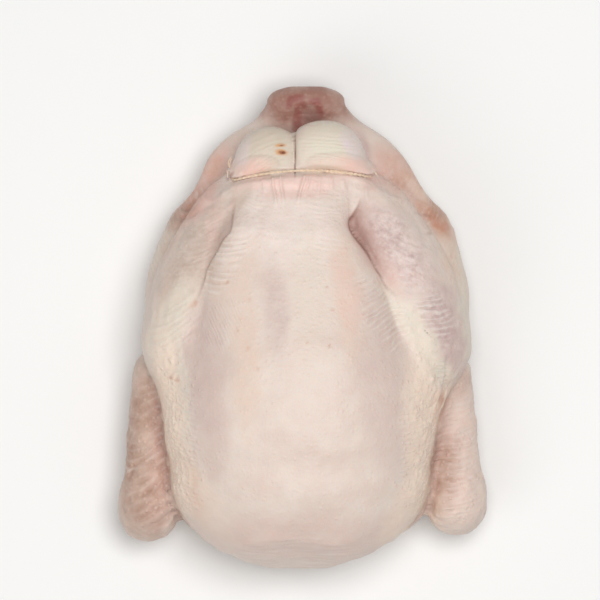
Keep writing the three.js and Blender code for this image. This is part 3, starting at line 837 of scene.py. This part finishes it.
def evaluated(data, modifier=None, **settings):
    """A curve or mesh as a new mesh, after one modifier if one is named. The old data is removed."""
    draft = placed("draft", data)
    if modifier:
        step = draft.modifiers.new("step", modifier)
        for key, value in settings.items():
            setattr(step, key, value)
    graph = bpy.context.evaluated_depsgraph_get()
    made = bpy.data.meshes.new_from_object(draft.evaluated_get(graph))
    bpy.data.objects.remove(draft)
    bpy.data.batch_remove([data])
    return made


def points_of(mesh):
    """The mesh's points in the bird's plan, in millimetres."""
    co = np.empty(len(mesh.vertices) * 3)
    mesh.vertices.foreach_get("co", co)
    return co.reshape(-1, 3) / MM + CENTRE


def place_points(mesh, points):
    mesh.vertices.foreach_set("co", ((points - CENTRE) * MM).ravel())
    mesh.update()


def reworked(mesh, work, rounds, longest):
    """The mesh after some work on it, laid on the form again."""
    bm = bmesh.new()
    bm.from_mesh(mesh)
    work(bm)
    bm.to_mesh(mesh)
    bm.free()
    place_points(mesh, lay_on(points_of(mesh), rounds, longest))
    return mesh


def relaxed(mesh, rounds, longest):
    """The mesh spread evenly over the form."""
    def spread(bm):
        bmesh.ops.smooth_vert(bm, verts=bm.verts, factor=0.5, use_axis_x=True, use_axis_y=True,
                              use_axis_z=True)

    for _ in range(rounds):
        mesh = reworked(mesh, spread, 1, longest)
    return mesh


def refined(mesh, region):
    """The mesh with every edge inside a region cut in two."""
    chosen = region(points_of(mesh))

    def cut(bm):
        bm.verts.index_update()
        inside = [e for e in bm.edges if chosen[e.verts[0].index] and chosen[e.verts[1].index]]
        bmesh.ops.subdivide_edges(bm, edges=inside, cuts=1, use_grid_fill=True)
        bmesh.ops.triangulate(bm, faces=[f for f in bm.faces if len(f.verts) > 4])

    return reworked(mesh, cut, 2, 1.0)


def facing_up(points):
    """The skin that is seen from above."""
    _, out = slope(points)
    return out[:, 2] > SEEN_FROM_ABOVE * np.linalg.norm(out, axis=1)


def close_work(points):
    """The skin with the smallest folds: hocks, tail, gathered belly and breast edges."""
    x, y, z = points.T
    chosen = np.zeros(x.shape, bool)
    for half, from_y, from_z in CLOSE_BOXES:
        chosen |= (np.abs(x) < half) & (y > from_y) & (z > from_z)
    for edge in EDGES:
        off, _ = beside(x, y, edge["line"])
        chosen |= (np.abs(off) < 3.2) & (z > 60)
    return chosen & facing_up(points)


def stand(name, mesh, material, node):
    """A shown piece that stands for a node of the frame."""
    piece = placed(name, mesh)
    mesh.materials.clear()
    mesh.materials.append(material)
    mesh.shade_smooth()
    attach(piece, BODY)
    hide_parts(node)
    return piece


def skin_mesh(settings):
    bm = bmesh.new()
    bm.from_mesh(frame["nodes"]["chicken"].data)
    bmesh.ops.remove_doubles(bm, verts=bm.verts, dist=1e-5)
    mesh = evaluated(mesh_of(bm, "skin"), "REMESH", mode="VOXEL", voxel_size=DRAFT_GRAIN)
    mesh = relaxed(mesh, 4, 2.5)
    grain = settings.grain * 1.0
    mesh = relaxed(evaluated(mesh, "REMESH", mode="VOXEL", voxel_size=grain), 2, 1.0)
    for region in (facing_up, close_work):
        mesh = refined(mesh, region)
    return mesh


def clear_of_tie(points):
    """Points pressed away from the elastic so that it lies free."""
    route = tie_route()
    room = TIE["radius"] + TIE_ROOM
    near = np.flatnonzero((np.abs(points[:, 0]) < 46) & (points[:, 1] > 66) & (points[:, 1] < 94))
    best = np.full(len(near), 1e9)
    away = np.zeros((3, len(near)))
    for a, b in zip(route, np.roll(route, -1, axis=0)):
        way, _ = nearest(points[near].T, a, b)
        d = length_of(way)
        away = np.where(d < best, way, away)
        best = np.minimum(d, best)
    push = np.maximum(room - best, 0) / np.maximum(best, 1e-3)
    points = points.copy()
    points[near] += (away * push).T
    return points


def set_attribute(mesh, name, values, kind="FLOAT"):
    layer = mesh.attributes.new(name, kind, "POINT")
    layer.data.foreach_set("value" if kind == "FLOAT" else "vector", np.asarray(values, np.float32).ravel())


# ---- the elastic ----

def tie_route(turns=14, across=14):
    """Points of the loop: straight across, round one leg, back underneath, round the other."""
    left, right = np.array(TIE["left"]), np.array(TIE["right"])
    flat = []
    for start, end, sign in ((left, right, 1), (right, left, -1)):
        for t in np.arange(across) / across:
            flat.append(start + (end - start) * t + (0, sign * TIE["round"]))
        for a in math.pi * np.arange(turns) / turns:
            flat.append(end + sign * TIE["round"] * np.array([math.sin(a), math.cos(a)]))
    x, z = np.array(flat).T
    return np.stack([x, tie_plane(x, z), z], axis=1)


def frames(route, closed):
    """A side and an upright direction at each point of a route, across it."""
    ahead = np.roll(route, -1, axis=0) - np.roll(route, 1, axis=0)
    if not closed:
        ahead[0] = route[1] - route[0]
        ahead[-1] = route[-1] - route[-2]
    ahead /= np.linalg.norm(ahead, axis=1)[:, None]
    side = np.array([0, 1, 0]) - ahead * ahead[:, 1:2]
    side /= np.linalg.norm(side, axis=1)[:, None]
    return side, np.cross(ahead, side)


def twisted(route, closed, radius, pitch, phase):
    """A route wound round another."""
    side, upright = frames(route, closed)
    steps = np.linalg.norm(np.diff(route, axis=0, append=route[:1] if closed else route[-1:]), axis=1)
    run = np.concatenate([[0], np.cumsum(steps)[:-1]])
    if closed:
        pitch = steps.sum() / round(steps.sum() / pitch)
    a = 2 * math.pi * run / pitch + phase
    return route + radius * (np.cos(a)[:, None] * side + np.sin(a)[:, None] * upright)


def strand_curve(curve, route, closed, thickness):
    spline = curve.splines.new("POLY")
    spline.points.add(len(route) - 1)
    for point, at, thick in zip(spline.points, (route - CENTRE) * MM, thickness):
        point.co = (*at, 1.0)
        point.radius = thick
    spline.use_cyclic_u = closed


def tie_mesh(settings):
    """Two strands twisted together round the hocks, with thin fibres and frayed ends."""
    curve = bpy.data.curves.new("elastic", "CURVE")
    curve.dimensions = "3D"
    curve.bevel_depth = settings.strand * 0.5
    curve.bevel_resolution = 2
    curve.use_fill_caps = True
    half = settings.strand * 0.5 / MM
    pitch = settings.pitch / MM
    route = tie_route(*TIE_STEPS)
    for phase in (0.0, math.pi):
        wound = twisted(route, True, half * STRAND_OFF, pitch, phase)
        strand_curve(curve, wound, True, np.ones(len(wound)))
        fibre = twisted(route[FIBRES["follow"]], False, half * FIBRES["off"], pitch * FIBRES["pitch"],
                        phase + FIBRES["phase"])
        strand_curve(curve, fibre, False, FIBRES["thick"] * np.sin(np.linspace(0.3, 2.8, len(fibre))))
    for points in LOOSE_ENDS:
        end = chain(points, 5)
        strand_curve(curve, end, False, np.linspace(0.95, 0.5, len(end)))
    return evaluated(curve)


# ---- finishes ----

def linear(colour):
    """An sRGB colour as the shader's linear one."""
    return tuple(c / 12.92 if c < 0.04045 else ((c + 0.055) / 1.055) ** 2.4 for c in colour)


class Net:
    """Adds and joins the nodes of one shader tree."""

    def __init__(self, tree):
        self.nodes = tree.nodes
        self.links = tree.links

    @property
    def place(self):
        """The object's own coordinates."""
        node = self.nodes.get("Texture Coordinate") or self.nodes.new("ShaderNodeTexCoord")
        return node.outputs["Object"]

    def give(self, socket, value):
        """Sets a socket, or links it where the value is another node's output."""
        if isinstance(value, bpy.types.NodeSocket):
            self.links.new(value, socket)
        else:
            socket.default_value = value

    def fill(self, node, settings):
        """Gives a node its settings, each of them a socket's name or an option's."""
        for key, value in settings.items():
            if key in node.inputs:
                self.give(node.inputs[key], value)
            else:
                setattr(node, key, value)

    def add(self, kind, **settings):
        node = self.nodes.new("ShaderNode" + kind)
        self.fill(node, settings)
        return node

    def math(self, operation, *values, use_clamp=False):
        node = self.add("Math", operation=operation, use_clamp=use_clamp)
        for socket, value in zip(node.inputs, values):
            self.give(socket, value)
        return node.outputs[0]

    def times(self, a, b):
        return self.math("MULTIPLY", a, b)

    def plus(self, a, share, b):
        """A share of a, and b."""
        return self.math("MULTIPLY_ADD", a, share, b)

    def noise(self, **settings):
        """Noise, in the object's own place unless Vector says otherwise."""
        return self.add("TexNoise", **{"Vector": self.place, **settings}).outputs["Fac"]

    def between(self, value, low, high, start, end):
        ranged = self.add("MapRange", interpolation_type="SMOOTHSTEP", Value=value)
        self.fill(ranged, {"From Min": low, "From Max": high, "To Min": start, "To Max": end})
        return ranged.outputs[0]

    def laid(self, factor, tint, under, blend="MIX"):
        """A colour laid over another."""
        mix = self.add("Mix", data_type="RGBA", blend_type=blend, Factor=factor, A=under, B=(*tint, 1))
        return mix.outputs["Result"]

    def masked(self, name, scale, contrast):
        """A named region of the mesh, broken up by noise."""
        mottle = bpy.data.node_groups.get("mottle") or mottle_group()
        region = self.add("Attribute", attribute_name=name).outputs["Fac"]
        broken = self.add("Group", node_tree=mottle, Mask=region, Scale=scale, Contrast=contrast)
        return broken.outputs["Mask"]

    def varied(self, value, colour, stops):
        """An sRGB colour that changes with a value: where on it, and by which factor of the colour."""
        ramp = self.add("ValToRGB", Fac=value)
        base = np.array(linear(colour))
        for element, (at, factor) in zip(ramp.color_ramp.elements, stops):
            element.position = at
            element.color = (*np.minimum(base * factor, 1), 1)
        return ramp.outputs["Color"]

    def bumped(self, height, strength, distance):
        bump = self.add("Bump", Strength=strength, Distance=distance, Height=height)
        return bump.outputs["Normal"]


def mottle_group():
    """Breaks a mask up with noise: Mask, Scale and Contrast in, Mask out."""
    group = bpy.data.node_groups.new("mottle", "ShaderNodeTree")
    for name, value in (("Mask", 0.0), ("Scale", 300.0), ("Contrast", 0.5)):
        socket = group.interface.new_socket(name, in_out="INPUT", socket_type="NodeSocketFloat")
        socket.default_value = value
    group.interface.new_socket("Mask", in_out="OUTPUT", socket_type="NodeSocketFloat")
    net = Net(group)
    given = net.nodes.new("NodeGroupInput").outputs
    result = net.nodes.new("NodeGroupOutput")
    centred = net.math("SUBTRACT", net.noise(Scale=given["Scale"], Detail=4.0, Roughness=0.6), 0.5)
    around = net.plus(net.times(centred, given["Contrast"]), 4.0, 1.0)
    net.give(result.inputs["Mask"], net.math("MULTIPLY", given["Mask"], around, use_clamp=True))
    return group


def new_material(name):
    """A material, the net of its nodes and its shader."""
    material = bpy.data.materials.new(name)
    material.use_nodes = True
    return material, Net(material.node_tree), material.node_tree.nodes["Principled BSDF"]


def skin_material(settings):
    material, net, shader = new_material("raw_skin")

    # Fine wrinkles along the lay of the skin, in millimetres of height
    lay = net.add("Attribute", attribute_name="lay").outputs["Vector"]
    waves = net.add("TexWave", wave_type="BANDS", bands_direction="Y", Vector=lay, Scale=math.pi / 10,
                    Distortion=6.0, Detail=2.0, **{"Detail Scale": 1.3}).outputs["Fac"]
    streaks = net.noise(Vector=lay, Scale=1.1, Detail=2.0, Roughness=0.5, Distortion=0.3)
    folded = net.plus(waves, 0.6, net.plus(streaks, 1.1, -0.85))
    wrinkles = net.times(folded, net.masked("wrinkled", 95.0, 0.55))

    # Feather pores and the skin's own grain
    pores = net.add("TexVoronoi", Vector=net.place, Scale=1 / settings.pore_gap, Randomness=0.9)
    pimple = net.between(pores.outputs["Distance"], 0.42, 0.05, 0.0, 1.0)
    pitted = net.times(pimple, net.masked("pores", 90.0, 0.9))
    grain = net.noise(Scale=620.0, Detail=3.0, Roughness=0.6)
    height = net.plus(pitted, 0.3, net.plus(grain, 0.22, wrinkles))

    # Colour: a blotched ground, the tones laid over it, then painted shade in pinker hollows and painted
    # highlights on paler crests
    blotch = net.noise(Scale=70.0, Detail=5.0, Roughness=0.55)
    colour = net.varied(blotch, settings.skin, ((0.3, (0.95, 0.90, 0.89)), (0.7, (1.04, 1.05, 1.05))))
    for tone, (tint, scale, contrast, _) in TONES.items():
        colour = net.laid(net.masked(tone, scale, contrast), linear(tint), colour)
    # Painted shade in the creases along the breast's edges and between the hocks
    colour = net.laid(net.masked("crease_shade", 300.0, 0.4), linear(CREASE_SHADE_TONE), colour)
    colour = net.laid(net.between(wrinkles, 0.0, -0.25, 0.0, 0.5), HOLLOW_SHADE, colour, "MULTIPLY")
    colour = net.laid(net.between(wrinkles, 0.0, 0.2, 0.0, 0.36), linear(CREST_HIGHLIGHT), colour)
    colour = net.laid(net.times(pitted, 0.3), linear(PIMPLE_TONE), colour)

    net.fill(shader, {
        "Base Color": colour,
        "Normal": net.bumped(height, 1.0, MM),
        "Roughness": net.between(blotch, 0.3, 0.7, 0.46, 0.6),
        "Subsurface Weight": 0.15,
        "Subsurface Radius": (1.0, 0.45, 0.3),
        "Subsurface Scale": 0.0015,
        "Specular IOR Level": 0.4,
        "Coat Weight": 0.06,
        "Coat Roughness": 0.35,
    })
    return material


def elastic_material(settings):
    material, net, shader = new_material("elastic_cord")
    fibres = net.noise(Scale=900.0, Detail=3.0)
    net.fill(shader, {
        "Base Color": net.varied(fibres, settings.elastic, ((0.35, 0.88), (0.65, 1.05))),
        "Normal": net.bumped(fibres, 0.5, 0.0002),
        "Roughness": 0.62,
    })
    return material


# ---- the add-on ----

class ChickenSettings(bpy.types.PropertyGroup):
    """Sizes and colours of the chicken and its stage."""
    grain: FloatProperty(name="Mesh grain", description="Width of the skin's mesh before it is refined",
                         default=2.2 * MM, min=1.5 * MM, unit="LENGTH")
    pore_gap: FloatProperty(name="Pore spacing", description="Distance between feather pores",
                            default=3.0 * MM, unit="LENGTH")
    skin: FloatVectorProperty(name="Skin", description="Colour of the skin over the breast",
                              default=SKIN_TONE, size=3, subtype="COLOR_GAMMA", min=0, max=1)
    strand: FloatProperty(name="Strand", description="Thickness of one strand of the elastic",
                          default=0.62 * MM, unit="LENGTH")
    pitch: FloatProperty(name="Twist", description="Length of elastic that turns once",
                         default=6.0 * MM, unit="LENGTH")
    elastic: FloatVectorProperty(name="Elastic", description="Colour of the elastic",
                                 default=(0.930, 0.842, 0.740), size=3, subtype="COLOR_GAMMA", min=0, max=1)
    floor: FloatVectorProperty(name="Floor", description="Colour of the floor",
                               default=(0.975, 0.975, 0.972), size=3, subtype="COLOR_GAMMA", min=0, max=1)
    light: FloatProperty(name="Light", description="Power of the overhead lamp", default=11.8,
                         unit="POWER")
    camera_height: FloatProperty(name="Camera height", description="Height of the camera over the floor",
                                 default=4.0, unit="LENGTH")
    view_width: FloatProperty(name="View width", description="Width that the camera takes in",
                              default=0.300, unit="LENGTH")


def settings_of(context):
    return context.scene.raw_chicken


class CHICKEN_OT_skin(bpy.types.Operator):
    """Models the bird and its skin"""
    bl_idname = "raw_chicken.skin"
    bl_label = "Chicken"

    def execute(self, context):
        settings = settings_of(context)
        mesh = skin_mesh(settings)
        points = points_of(mesh)
        _, out = slope(points)
        out /= np.linalg.norm(out, axis=1)[:, None]
        points = points + out * relief(points, out)[:, None]
        points = clear_of_tie(points)
        low, high = (np.array(corner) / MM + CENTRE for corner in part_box("chicken"))
        points = np.clip(points, low, high)
        place_points(mesh, points)
        lay, depth = wrinkle_lay(points, limb_parts(points)[0])
        set_attribute(mesh, "wrinkled", depth)
        set_attribute(mesh, "lay", lay, "FLOAT_VECTOR")
        for name, values in skin_masks(points, out).items():
            set_attribute(mesh, name, values)
        stand("chicken_skin", mesh, skin_material(settings), "chicken")
        return {"FINISHED"}


class CHICKEN_OT_elastic(bpy.types.Operator):
    """Twists the elastic round the hocks"""
    bl_idname = "raw_chicken.elastic"
    bl_label = "Elastic"

    def execute(self, context):
        settings = settings_of(context)
        stand("elastic_tie", tie_mesh(settings), elastic_material(settings), "leg_tie")
        return {"FINISHED"}


def area_lamp(name, at, size, power):
    """A round lamp that shines on the bird."""
    lamp = bpy.data.lights.new(name, "AREA")
    lamp.shape = "DISK"
    lamp.size = size
    lamp.energy = power
    holder = placed(name, lamp)
    holder.location = at
    holder.rotation_euler = (Vector(LAMP_AIM) - Vector(at)).to_track_quat("-Z", "Y").to_euler()


class CHICKEN_OT_stage(bpy.types.Operator):
    """Lays the floor and sets the lamps and the camera"""
    bl_idname = "raw_chicken.stage"
    bl_label = "Stage"

    def execute(self, context):
        settings = settings_of(context)
        bm = bmesh.new()
        bmesh.ops.create_grid(bm, x_segments=1, y_segments=1, size=4.0)
        floor = placed("floor", mesh_of(bm, "floor"))
        material, net, shader = new_material("pale_floor")
        net.fill(shader, {"Base Color": (*linear(settings.floor), 1), "Roughness": 0.8})
        floor.data.materials.append(material)

        world = bpy.data.worlds.new("studio")
        world.use_nodes = True
        sky = world.node_tree.nodes["Background"].inputs
        sky["Color"].default_value, sky["Strength"].default_value = SKY
        context.scene.world = world
        for name, at, size, share in LAMPS:
            area_lamp(name, at, size, settings.light * share)

        lens = bpy.data.cameras.new("camera")
        lens.sensor_width = 36.0
        lens.lens = lens.sensor_width * (settings.camera_height - VIEW_PLANE) / settings.view_width
        lens.clip_end = 20.0
        camera = placed("camera", lens)
        camera.location = (*((np.array(VIEW_MIDDLE) - CENTRE[:2]) * MM), settings.camera_height)
        context.scene.camera = camera
        context.scene.view_settings.view_transform = "Standard"
        return {"FINISHED"}


class CHICKEN_PT_panel(bpy.types.Panel):
    """Shows the settings, and a button for each of the steps"""
    bl_idname = "CHICKEN_PT_panel"
    bl_label = "Whole Raw Chicken"
    bl_space_type = "VIEW_3D"
    bl_region_type = "UI"
    bl_category = "Chicken"

    def draw(self, context):
        for name in ChickenSettings.__annotations__:
            self.layout.prop(settings_of(context), name)
        for operator in OPERATORS:
            self.layout.operator(operator.bl_idname)


OPERATORS = (CHICKEN_OT_skin, CHICKEN_OT_elastic, CHICKEN_OT_stage)
CLASSES = (ChickenSettings, *OPERATORS, CHICKEN_PT_panel)


def register():
    for cls in CLASSES:
        bpy.utils.register_class(cls)
    bpy.types.Scene.raw_chicken = PointerProperty(type=ChickenSettings)


def unregister():
    del bpy.types.Scene.raw_chicken
    for cls in reversed(CLASSES):
        bpy.utils.unregister_class(cls)


def main():
    register()
    bpy.ops.raw_chicken.skin()
    bpy.ops.raw_chicken.elastic()
    bpy.ops.raw_chicken.stage()


if __name__ == "__main__":
    main()
